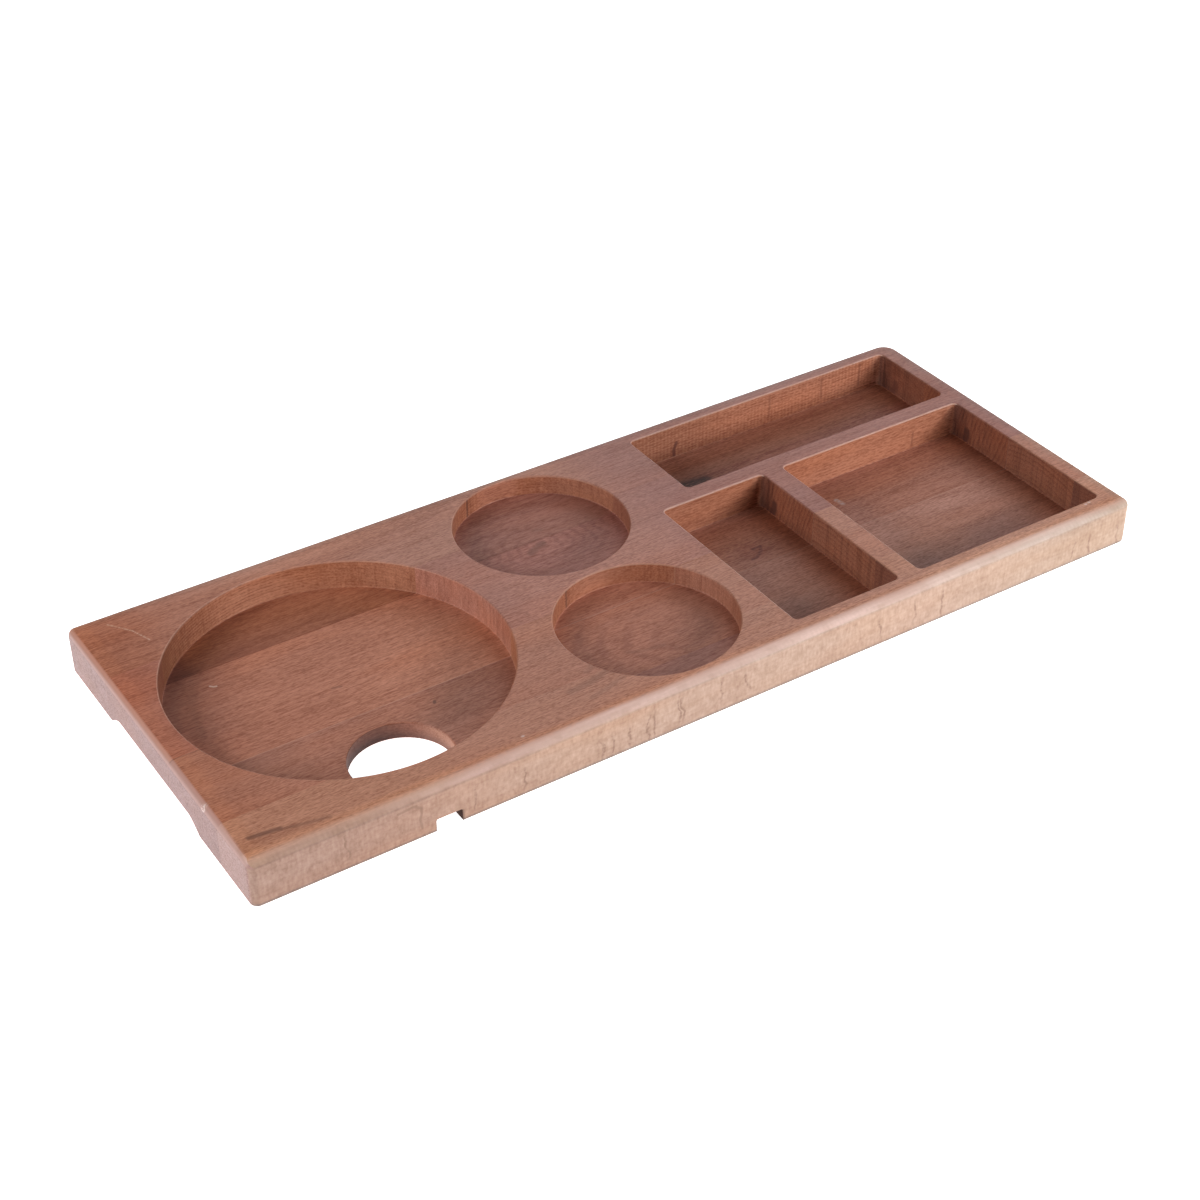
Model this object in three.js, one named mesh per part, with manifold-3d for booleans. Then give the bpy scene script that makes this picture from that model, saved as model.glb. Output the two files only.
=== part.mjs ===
// Hospitality tray: an edge-glued beech panel with routed recesses.
// Millimetres, +Z up. Origin at the centre of the underside, +X along the grain
// (kettle end at -X, sachet pockets at +X), +Y towards the back edge.

import * as THREE from 'three';
import { mergeVertices } from 'three/addons/utils/BufferGeometryUtils.js';
import Module from 'manifold-3d';

// ---- panel -----------------------------------------------------------------
const LENGTH = 502;
const WIDTH = 200;
const THICK = 25.2;
const CORNER_R = [5, 9, 4, 4];   // upright corners: front right, back right (worn rounder), back left, front left
const TOP_R = 3.5;         // roundover along the top edge
const BOTTOM_R = 2;        // easing along the bottom edge

// ---- staves: glue lines run along X -----------------------------------------
const SEAM_BACK = 52.0;
const SEAM_MIDDLE = -18.5;
const SEAM_FRONT = -68.9;
const GLUE_LINE = 0.3;

// ---- kettle recess, with the cable hole through its floor ---------------------
const KETTLE_X = -154.8;
const KETTLE_Y = 3.4;
const KETTLE_R = 83.4;
const KETTLE_FLOOR = 9.3;
const HOLE_Y = -55.8;
const HOLE_R = 25;

// ---- cable groove under the front rim -----------------------------------------
const GROOVE_X = -155.0;
const GROOVE_WIDTH = 13.4;
const GROOVE_HEIGHT = 7.3;

// ---- cup recesses ---------------------------------------------------------------
const CUP_X = -14.6;
const CUP_BACK_Y = 49.9;
const CUP_FRONT_Y = -46.4;
const CUP_R = 45.3;
const CUP_FLOOR = 14.3;

// ---- rectangular pockets: x0, x1, y0, y1 ------------------------------------------
const LONG_POCKET = [66.6, 239.3, 36.7, 91.2];
const NARROW_POCKET = [43.7, 107.2, -87.3, 26.1];
const SQUARE_POCKET = [120.0, 239.3, -87.3, 26.1];
const POCKET_FLOOR = 5.4;
const POCKET_R = 3;

// ---- finger scoops in the bottom edge of both ends ------------------------------------
const SCOOP_Y = 2.25;      // middle of the scoop
const SCOOP_FLAT = 74.5;   // length at full height
const SCOOP_BLEND = 17;    // length of each S-shaped run-out
const SCOOP_HEIGHT = 7;
const SCOOP_DEPTH = 8.5;   // reach under the tray, short of the pocket at the right end
const SCOOP_COVE_R = 4;    // cove at the inner end

const wasm = await Module();
wasm.setup();

// a closed geometry as a solid
function solid(geometry) {
  const g = geometry.clone();
  g.deleteAttribute('normal');
  g.deleteAttribute('uv');
  const m = mergeVertices(g, 1e-4);
  const index = m.index.array;
  const tris = [];
  for (let i = 0; i < index.length; i += 3) {
    const a = index[i], b = index[i + 1], c = index[i + 2];
    if (a !== b && b !== c && c !== a) tris.push(a, b, c);
  }
  return new wasm.Manifold(new wasm.Mesh({
    numProp: 3,
    vertProperties: new Float32Array(m.attributes.position.array),
    triVerts: new Uint32Array(tris),
  }));
}

// a solid as a geometry
function geometryOf(manifold) {
  const mesh = manifold.getMesh();
  const n = mesh.vertProperties.length / mesh.numProp;
  const pos = new Float32Array(n * 3);
  for (let i = 0; i < n; i++) {
    for (let k = 0; k < 3; k++) pos[3 * i + k] = mesh.vertProperties[i * mesh.numProp + k];
  }
  const g = new THREE.BufferGeometry();
  g.setAttribute('position', new THREE.BufferAttribute(pos, 3));
  g.setIndex(new THREE.BufferAttribute(new Uint32Array(mesh.triVerts), 1));
  g.computeVertexNormals();
  return g;
}

// radii: front right, back right, back left, front left
function roundedRect(x0, x1, y0, y1, [fr, br, bl, fl]) {
  const s = new THREE.Shape();
  s.moveTo(x0 + fl, y0);
  s.lineTo(x1 - fr, y0);
  s.absarc(x1 - fr, y0 + fr, fr, -Math.PI / 2, 0, false);
  s.lineTo(x1, y1 - br);
  s.absarc(x1 - br, y1 - br, br, 0, Math.PI / 2, false);
  s.lineTo(x0 + bl, y1);
  s.absarc(x0 + bl, y1 - bl, bl, Math.PI / 2, Math.PI, false);
  s.lineTo(x0, y0 + fl);
  s.absarc(x0 + fl, y0 + fl, fl, Math.PI, 1.5 * Math.PI, false);
  return s;
}

// the panel's outline, z0 to z1, with the edges of both ends rounded by r
function slab(z0, z1, r, segments) {
  const outline = roundedRect(-LENGTH / 2, LENGTH / 2, -WIDTH / 2, WIDTH / 2, CORNER_R);
  const g = new THREE.ExtrudeGeometry(outline, {
    depth: z1 - z0 - 2 * r,
    curveSegments: 3,
    bevelEnabled: true,
    bevelThickness: r,
    bevelSize: r,
    bevelOffset: -r,
    bevelSegments: segments,
  });
  g.translate(0, 0, z0 + r);
  return solid(g);
}

function roundCut(x, y, r, z0, z1, segments) {
  const g = new THREE.CylinderGeometry(r, r, z1 - z0, segments);
  g.rotateX(Math.PI / 2);
  g.translate(x, y, (z0 + z1) / 2);
  return solid(g);
}

function pocketCut([x0, x1, y0, y1]) {
  const g = new THREE.ExtrudeGeometry(roundedRect(x0, x1, y0, y1, Array(4).fill(POCKET_R)), {
    depth: THICK + 5 - POCKET_FLOOR,
    curveSegments: 3,
    bevelEnabled: false,
  });
  g.translate(0, 0, POCKET_FLOOR);
  return solid(g);
}

function boxCut(x0, x1, y0, y1, z0, z1) {
  const g = new THREE.BoxGeometry(x1 - x0, y1 - y0, z1 - z0);
  g.translate((x0 + x1) / 2, (y0 + y1) / 2, (z0 + z1) / 2);
  return solid(g);
}

// the scoop of one end (-1 or +1): its elevation seen from the end, and its cove seen from the front
function scoopCut(end) {
  const half = SCOOP_FLAT / 2;
  const steps = 8;
  const dip = 0.12;        // the run-outs start just below the underside
  const elevation = new THREE.Shape();
  elevation.moveTo(SCOOP_Y - half - SCOOP_BLEND, -4);
  for (let i = 0; i <= steps; i++) {
    const t = i / steps;
    const z = -dip + (SCOOP_HEIGHT + dip) * (1 - Math.cos(Math.PI * t)) / 2;
    elevation.lineTo(SCOOP_Y - half - SCOOP_BLEND * (1 - t), z);
  }
  for (let i = steps; i >= 0; i--) {
    const t = i / steps;
    const z = -dip + (SCOOP_HEIGHT + dip) * (1 - Math.cos(Math.PI * t)) / 2;
    elevation.lineTo(SCOOP_Y + half + SCOOP_BLEND * (1 - t), z);
  }
  elevation.lineTo(SCOOP_Y + half + SCOOP_BLEND, -4);
  const a = new THREE.ExtrudeGeometry(elevation, { depth: SCOOP_DEPTH + 20, bevelEnabled: false });
  // shape x, y and extrusion become Y, Z and X
  a.applyMatrix4(new THREE.Matrix4().makeBasis(
    new THREE.Vector3(0, 1, 0), new THREE.Vector3(0, 0, 1), new THREE.Vector3(1, 0, 0)));
  a.translate(end < 0 ? -LENGTH / 2 - 10 : LENGTH / 2 - SCOOP_DEPTH - 10, 0, 0);

  const cove = new THREE.Shape();
  const x0 = end * (LENGTH / 2 + 5);
  const x1 = end * (LENGTH / 2 - SCOOP_DEPTH);
  cove.moveTo(x0, -5);
  cove.lineTo(x1, -5);
  cove.lineTo(x1, SCOOP_HEIGHT - SCOOP_COVE_R);
  for (let i = 1; i <= 6; i++) {
    const t = (i / 6) * Math.PI / 2;
    cove.lineTo(x1 + end * SCOOP_COVE_R * (1 - Math.cos(t)), SCOOP_HEIGHT + 0.02 - SCOOP_COVE_R * (1 - Math.sin(t)));
  }
  cove.lineTo(x0, SCOOP_HEIGHT + 0.02);
  const b = new THREE.ExtrudeGeometry(cove, { depth: 160, bevelEnabled: false });
  // shape x, y and extrusion become X, Z and -Y
  b.applyMatrix4(new THREE.Matrix4().makeBasis(
    new THREE.Vector3(1, 0, 0), new THREE.Vector3(0, 0, 1), new THREE.Vector3(0, -1, 0)));
  b.translate(0, 80, 0);
  return solid(a).intersect(solid(b));
}

// ---- the routed panel ------------------------------------------------------------------
let panel = slab(-10, THICK, TOP_R, 4).intersect(slab(0, THICK + 10, BOTTOM_R, 2));
const cuts = [
  roundCut(KETTLE_X, KETTLE_Y, KETTLE_R, KETTLE_FLOOR, THICK + 5, 96),
  roundCut(KETTLE_X, HOLE_Y, HOLE_R, -5, KETTLE_FLOOR + 0.5, 48),
  roundCut(CUP_X, CUP_BACK_Y, CUP_R, CUP_FLOOR, THICK + 5, 64),
  roundCut(CUP_X, CUP_FRONT_Y, CUP_R, CUP_FLOOR, THICK + 5, 64),
  pocketCut(LONG_POCKET),
  pocketCut(NARROW_POCKET),
  pocketCut(SQUARE_POCKET),
  boxCut(GROOVE_X - GROOVE_WIDTH / 2, GROOVE_X + GROOVE_WIDTH / 2,
    -WIDTH / 2 - 5, HOLE_Y - HOLE_R + 6, -5, GROOVE_HEIGHT),
  scoopCut(-1),
  scoopCut(1),
];
for (const cut of cuts) panel = panel.subtract(cut);

// ---- the staves -------------------------------------------------------------------------
const g = GLUE_LINE / 2;
const STAVES = [
  ['back_stave', SEAM_BACK + g, WIDTH / 2 + 5, '#a2694f'],
  ['centre_stave', SEAM_MIDDLE + g, SEAM_BACK - g, '#a9715a'],
  ['inner_front_stave', SEAM_FRONT + g, SEAM_MIDDLE - g, '#a06a53'],
  ['front_stave', -WIDTH / 2 - 5, SEAM_FRONT - g, '#ad755c'],
];

const tray = new THREE.Group();
tray.name = 'hospitality_tray';
for (const [name, y0, y1, color] of STAVES) {
  const piece = panel.intersect(boxCut(-LENGTH / 2 - 5, LENGTH / 2 + 5, y0, y1, -5, THICK + 5));
  const material = new THREE.MeshStandardMaterial({ color, roughness: 0.5, metalness: 0 });
  const mesh = new THREE.Mesh(geometryOf(piece), material);
  mesh.name = name;
  tray.add(mesh);
}

export default tray;
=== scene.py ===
import math

import bmesh
import bpy
import numpy as np
from mathutils import Matrix, Vector


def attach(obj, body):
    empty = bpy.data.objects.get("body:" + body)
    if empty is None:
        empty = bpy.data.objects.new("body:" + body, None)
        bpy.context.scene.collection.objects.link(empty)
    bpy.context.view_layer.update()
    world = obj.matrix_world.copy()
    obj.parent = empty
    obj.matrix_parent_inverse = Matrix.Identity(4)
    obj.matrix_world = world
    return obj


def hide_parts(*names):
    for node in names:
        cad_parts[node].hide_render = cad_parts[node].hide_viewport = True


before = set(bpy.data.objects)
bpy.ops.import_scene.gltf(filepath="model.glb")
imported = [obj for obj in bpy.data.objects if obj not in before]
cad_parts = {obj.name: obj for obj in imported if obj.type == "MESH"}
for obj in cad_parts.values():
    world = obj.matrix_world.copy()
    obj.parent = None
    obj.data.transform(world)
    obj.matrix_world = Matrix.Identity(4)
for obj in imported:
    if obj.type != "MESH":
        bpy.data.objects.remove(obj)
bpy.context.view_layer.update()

# A beech hospitality tray: four edge-glued staves, routed as one panel.
# Millimetres in this script's numbers, metres in the meshes. +X along the grain, +Y to the back, +Z up.
MM = 0.001
LENGTH, WIDTH, THICK = 502.0, 200.0, 25.2
CORNER_R = (5.0, 9.0, 4.0, 4.0)              # front right, back right, back left, front left
EDGE_R, TOP_R, BOTTOM_R = 4.0, 3.5, 2.0
FRONT_EASE = (9.5, 3.7)                      # the front edge is eased further: width on top, height on the face
SEAM_BACK, SEAM_MIDDLE, SEAM_FRONT = 52.0, -18.5, -68.9
GLUE_GAP = 0.04

KETTLE = (-154.8, 3.4, 83.4, 9.3)            # x, y, radius, floor height
HOLE = (-154.8, -55.8, 25.0)
GROOVE_X, GROOVE_W, GROOVE_H = -155.0, 13.4, 7.3
CUP_BACK = (-14.6, 49.9, 45.3, 14.3)
CUP_FRONT = (-14.6, -46.4, 45.3, 14.3)
LONG_POCKET = (66.6, 239.3, 36.7, 91.2)
NARROW_POCKET = (43.7, 107.2, -87.3, 26.1)
SQUARE_POCKET = (120.0, 239.3, -87.3, 26.1)
POCKET_FLOOR, POCKET_R = 5.4, 3.0
SCOOP_Y, SCOOP_FLAT, SCOOP_BLEND = 2.25, 74.5, 17.0
SCOOP_H, SCOOP_DEPTH, SCOOP_COVE_R = 7.0, 8.5, 4.0

ARRIS = 0.7       # softened rim of every recess
FILLET = 0.45     # tool radius where a wall meets its floor


# ---------------------------------------------------------------- meshes
def ring(x, y, r, n):
    return [(x + r * math.cos(2 * math.pi * i / n), y + r * math.sin(2 * math.pi * i / n)) for i in range(n)]


def rounded(x0, x1, y0, y1, radii, n):
    a, b, c, d = radii
    pts = []
    for cx, cy, r, start in ((x1 - a, y0 + a, a, -90), (x1 - b, y1 - b, b, 0), (x0 + c, y1 - c, c, 90), (x0 + d, y0 + d, d, 180)):
        for i in range(n + 1):
            t = math.radians(start + 90.0 * i / n)
            pts.append((cx + r * math.cos(t), cy + r * math.sin(t)))
    return pts


def new_object(name, verts, faces):
    mesh = bpy.data.meshes.new(name)
    mesh.from_pydata([(x * MM, y * MM, z * MM) for x, y, z in verts], [], faces)
    mesh.validate()
    obj = bpy.data.objects.new(name, mesh)
    bpy.context.scene.collection.objects.link(obj)
    return obj


def stack(name, loops):
    """A closed solid from loops of equal length, each (points in XY, z), from the lowest up."""
    n = len(loops[0][0])
    verts = [(x, y, z) for pts, z in loops for x, y in pts]
    faces = [list(reversed(range(n)))]
    for k in range(len(loops) - 1):
        a, b = k * n, (k + 1) * n
        faces += [[a + i, a + (i + 1) % n, b + (i + 1) % n, b + i] for i in range(n)]
    faces.append([(len(loops) - 1) * n + i for i in range(n)])
    return new_object(name, verts, faces)


def recess_profile(floor, fillet=FILLET, arris=ARRIS):
    """(offset from the wall, height) from the floor up through the rim, a little past the top."""
    out = []
    for i in range(5):
        t = math.radians(90.0 * i / 4)
        out.append((-fillet * (1 - math.sin(t)), floor + fillet * (1 - math.cos(t))))
    for t in (0, 20, 40, 60, 80):
        a = math.radians(t)
        out.append((arris * (1 - math.cos(a)), THICK - arris + arris * math.sin(a)))
    o, z = out[-1]
    out.append((o + 0.5, z + 0.5))
    out.append((o + 0.5, THICK + 4))
    return out


def round_recess(name, x, y, r, floor, n):
    return stack(name, [(ring(x, y, r + o, n), z) for o, z in recess_profile(floor)])


def pocket_recess(name, box, n=12):
    x0, x1, y0, y1 = box
    return stack(name, [(rounded(x0 - o, x1 + o, y0 - o, y1 + o, [POCKET_R + o] * 4, n), z)
                        for o, z in recess_profile(POCKET_FLOOR)])


def through_hole(name, x, y, r, n):
    a, b = 0.8, 0.6
    prof = [(b + 0.3, -3.0), (b + 0.3, -0.3)]
    prof += [(b * (1 - math.cos(math.radians(t))), b - b * math.sin(math.radians(t))) for t in (80, 55, 30, 0)]
    top = KETTLE[3]
    prof += [(a * (1 - math.cos(math.radians(t))), top - a + a * math.sin(math.radians(t))) for t in (0, 20, 40, 60, 80)]
    o, z = prof[-1]
    prof += [(o + 0.4, z + 0.4), (o + 0.4, top + 1.5)]
    return stack(name, [(ring(x, y, r + o, n), z) for o, z in prof])


def cable_groove(name):
    """Open to the underside, from the front face into the cable hole, with softened edges."""
    a = 0.5

    def section(o):
        w, h = GROOVE_W / 2 + o, GROOVE_H + o
        pts = [(-w - a - 0.3, -3.0), (-w - a - 0.3, -0.3), (-w, a), (-w, h - 1.0)]
        pts += [(-w + 1.0 * (1 - math.cos(t)), h - 1.0 + 1.0 * math.sin(t)) for t in (0.52, 1.05, 1.57)]
        return pts + [(-px, pz) for px, pz in reversed(pts)]

    stations = [(-WIDTH / 2 - 4, 0.9), (-WIDTH / 2 - 0.4, 0.9), (-WIDTH / 2 + 0.5, 0.0), (HOLE[1] - HOLE[2] + 6, 0.0)]
    n = len(section(0))
    verts = [(GROOVE_X + px, y, pz) for y, o in stations for px, pz in section(o)]
    faces = [list(range(n))]
    for k in range(len(stations) - 1):
        p, q = k * n, (k + 1) * n
        faces += [[p + i, q + i, q + (i + 1) % n, p + (i + 1) % n] for i in range(n)]
    faces.append([(len(stations) - 1) * n + i for i in reversed(range(n))])
    obj = new_object(name, verts, faces)
    outward(obj)
    return obj


def finger_scoop(name, end):
    """A shallow hand-hold in the bottom edge of one end (-1 or +1)."""
    half = SCOOP_FLAT / 2 + SCOOP_BLEND
    ys = np.concatenate([np.linspace(-half, -SCOOP_FLAT / 2, 29)[:-1], np.linspace(-SCOOP_FLAT / 2, SCOOP_FLAT / 2, 25)[:-1],
                         np.linspace(SCOOP_FLAT / 2, half, 29)])
    run = np.clip((half - np.abs(ys)) / SCOOP_BLEND, 0, 1)
    rise = 0.5 - 0.5 * np.cos(math.pi * run)
    # reach from the end face inwards: a softened mouth, the flat, the cove, then a softened inner edge
    flat, low = SCOOP_DEPTH - SCOOP_COVE_R, (SCOOP_H - SCOOP_COVE_R) / SCOOP_H
    reach = [(-4.0, 1.0, 0.7), (-0.5, 1.0, 0.7), (-0.01, 1.0, 0.5), (0.2, 1.0, 0.3), (0.5, 1.0, 0.1), (0.9, 1.0, 0.0), (2.5, 1.0, 0.0)]
    for t in np.linspace(0, 90, 11):
        a = math.radians(t)
        reach.append((flat + SCOOP_COVE_R * math.sin(a), low + (1 - low) * math.cos(a), 0.0))
    reach += [(SCOOP_DEPTH + 0.03, 0.09, 0.0), (SCOOP_DEPTH + 0.5, 0.0, 0.0)]
    ds = [r[0] for r in reach]

    nx, ny = len(ds), len(ys)
    verts, faces = [], []
    for d, c, mouth in reach:
        for y, k in zip(ys, rise):
            verts.append((end * (LENGTH / 2 - d), SCOOP_Y + y, -0.12 + (SCOOP_H + 0.12) * k * c + mouth * k))
    base = len(verts)
    for d in ds:
        for y in ys:
            verts.append((end * (LENGTH / 2 - d), SCOOP_Y + y, -4.0))
    for i in range(nx - 1):
        for j in range(ny - 1):
            a, b, c, d = i * ny + j, (i + 1) * ny + j, (i + 1) * ny + j + 1, i * ny + j + 1
            faces.append([a, b, c, d])
            faces.append([base + d, base + c, base + b, base + a])
    for j in range(ny - 1):
        for i, flip in ((0, False), (nx - 1, True)):
            q = [i * ny + j, i * ny + j + 1, base + i * ny + j + 1, base + i * ny + j]
            faces.append(q[::-1] if flip else q)
    for i in range(nx - 1):
        for j, flip in ((0, True), (ny - 1, False)):
            q = [i * ny + j, (i + 1) * ny + j, base + (i + 1) * ny + j, base + i * ny + j]
            faces.append(q[::-1] if flip else q)
    obj = new_object(name, verts, faces)
    outward(obj)
    return obj


def front_ease(name):
    """What is sanded off the front edge: everything outside a quarter ellipse along the tray."""
    a, b = FRONT_EASE
    pts = [(-WIDTH / 2 + a + 6.0, THICK + 0.08), (-WIDTH / 2 + a + 6.0, THICK + 3.0), (-WIDTH / 2 - 4.0, THICK + 3.0),
           (-WIDTH / 2 - 4.0, THICK - b - 1.0), (-WIDTH / 2 - 0.04, THICK - b - 1.0)]
    for i in range(24, -1, -1):
        t = math.radians(90.0 * i / 24)
        pts.append((-WIDTH / 2 + a - a * math.sin(t), THICK - b + b * math.cos(t)))
    n = len(pts)
    verts = [(x, y, z) for x in (-LENGTH / 2 - 5, LENGTH / 2 + 5) for y, z in pts]
    faces = [list(range(n)), list(reversed(range(n, 2 * n)))]
    faces += [[i, n + i, n + (i + 1) % n, (i + 1) % n] for i in range(n)]
    obj = new_object(name, verts, faces)
    outward(obj)
    return obj


def outward(obj):
    bm = bmesh.new()
    bm.from_mesh(obj.data)
    bmesh.ops.recalc_face_normals(bm, faces=bm.faces)
    if bm.calc_volume(signed=True) < 0:
        bmesh.ops.reverse_faces(bm, faces=bm.faces)
    bm.to_mesh(obj.data)
    bm.free()


def panel_blank():
    prof = [(-BOTTOM_R * (1 - math.sin(math.radians(t))), BOTTOM_R * (1 - math.cos(math.radians(t)))) for t in np.linspace(0, 90, 6)]
    prof += [(-TOP_R * (1 - math.cos(math.radians(t))), THICK - TOP_R + TOP_R * math.sin(math.radians(t))) for t in np.linspace(0, 90, 13)]
    return stack("panel", [(rounded(-LENGTH / 2 - o, LENGTH / 2 + o, -WIDTH / 2 - o, WIDTH / 2 + o, [r + o for r in CORNER_R], 12), z)
                           for o, z in prof])


def boolean(obj, tool, operation):
    mod = obj.modifiers.new("cut", "BOOLEAN")
    mod.operation, mod.object, mod.solver = operation, tool, "EXACT"
    deps = bpy.context.evaluated_depsgraph_get()
    mesh = bpy.data.meshes.new_from_object(obj.evaluated_get(deps))
    obj.modifiers.clear()
    old, obj.data = obj.data, mesh
    bpy.data.meshes.remove(old)


def tidy(obj):
    bm = bmesh.new()
    bm.from_mesh(obj.data)
    bmesh.ops.remove_doubles(bm, verts=bm.verts, dist=2e-6)
    bmesh.ops.dissolve_degenerate(bm, edges=bm.edges, dist=1e-6)
    bmesh.ops.triangulate(bm, faces=[f for f in bm.faces if len(f.verts) > 4])
    open_edges = sum(1 for e in bm.edges if not e.is_manifold)
    bm.to_mesh(obj.data)
    bm.free()
    return open_edges


def soft_normals(mesh, limit=32.0):
    """Corner normals: flat faces stay exactly flat, and what runs into them does so without a break."""
    n_face = len(mesh.polygons)
    normal = np.zeros(n_face * 3)
    area = np.zeros(n_face)
    start = np.zeros(n_face, int)
    total = np.zeros(n_face, int)
    mesh.polygons.foreach_get("normal", normal)
    mesh.polygons.foreach_get("area", area)
    mesh.polygons.foreach_get("loop_start", start)
    mesh.polygons.foreach_get("loop_total", total)
    normal = normal.reshape(-1, 3)
    corner = np.zeros(len(mesh.loops), int)
    mesh.loops.foreach_get("vertex_index", corner)
    face_of = np.repeat(np.arange(n_face), total)
    flat = np.abs(normal).max(1) > 0.999995
    around = [[] for _ in range(len(mesh.vertices))]
    for f, v in zip(face_of, corner):
        around[v].append(f)
    cos_limit = math.cos(math.radians(limit))
    out = np.zeros((len(corner), 3))
    for i, (f, v) in enumerate(zip(face_of, corner)):
        if flat[f]:
            out[i] = normal[f]
            continue
        fs = np.array(around[v])
        near = fs[normal[fs] @ normal[f] > cos_limit]
        level = near[flat[near]]
        if len(level):
            out[i] = normal[level[0]]
            continue
        s = (normal[near] * area[near][:, None]).sum(0)
        out[i] = s / max(np.linalg.norm(s), 1e-12)
    mesh.polygons.foreach_set("use_smooth", np.ones(n_face, bool))
    mesh.normals_split_custom_set(out.tolist())


panel = panel_blank()
cutters = [
    front_ease("cut_front_edge"),
    round_recess("cut_kettle", *KETTLE, 360),
    through_hole("cut_hole", *HOLE, 160),
    round_recess("cut_cup_back", *CUP_BACK, 240),
    round_recess("cut_cup_front", *CUP_FRONT, 240),
    pocket_recess("cut_long", LONG_POCKET),
    pocket_recess("cut_narrow", NARROW_POCKET),
    pocket_recess("cut_square", SQUARE_POCKET),
    cable_groove("cut_groove"),
    finger_scoop("cut_scoop_left", -1),
    finger_scoop("cut_scoop_right", 1),
]
for tool in cutters:
    boolean(panel, tool, "DIFFERENCE")
for tool in cutters:
    bpy.data.meshes.remove(tool.data)

STAVES = [
    ("back_stave", SEAM_BACK, WIDTH / 2 + 5, "beech_back"),
    ("centre_stave", SEAM_MIDDLE, SEAM_BACK, "beech_centre"),
    ("inner_front_stave", SEAM_FRONT, SEAM_MIDDLE, "beech_inner_front"),
    ("front_stave", -WIDTH / 2 - 5, SEAM_FRONT, "beech_front"),
]
pieces = {}
for node, y0, y1, slot in STAVES:
    g = GLUE_GAP / 2
    piece = bpy.data.objects.new(node + "_wood", panel.data.copy())
    bpy.context.scene.collection.objects.link(piece)
    block = stack("block", [([(-300, y0 + g), (300, y0 + g), (300, y1 - g), (-300, y1 - g)], z) for z in (-10, 40)])
    boolean(piece, block, "INTERSECT")
    bpy.data.meshes.remove(block.data)
    piece.data.name = node + "_wood"
    left = tidy(piece)
    print("PIECE", piece.name, len(piece.data.vertices), len(piece.data.polygons), "open edges", left)
    soft_normals(piece.data)
    pieces[node] = piece
bpy.data.meshes.remove(panel.data)


# ---------------------------------------------------------------- wood
class Field:
    """A number that varies over the surface, as one node's output."""

    def __init__(self, graph, socket):
        self.graph, self.socket = graph, socket

    def __add__(self, other):
        return self.graph.math("ADD", self, other)

    def __sub__(self, other):
        return self.graph.math("SUBTRACT", self, other)

    def __rsub__(self, other):
        return self.graph.math("SUBTRACT", other, self)

    def __mul__(self, other):
        return self.graph.math("MULTIPLY", self, other)

    def __truediv__(self, other):
        return self.graph.math("DIVIDE", self, other)

    __radd__, __rmul__ = __add__, __mul__


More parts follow.
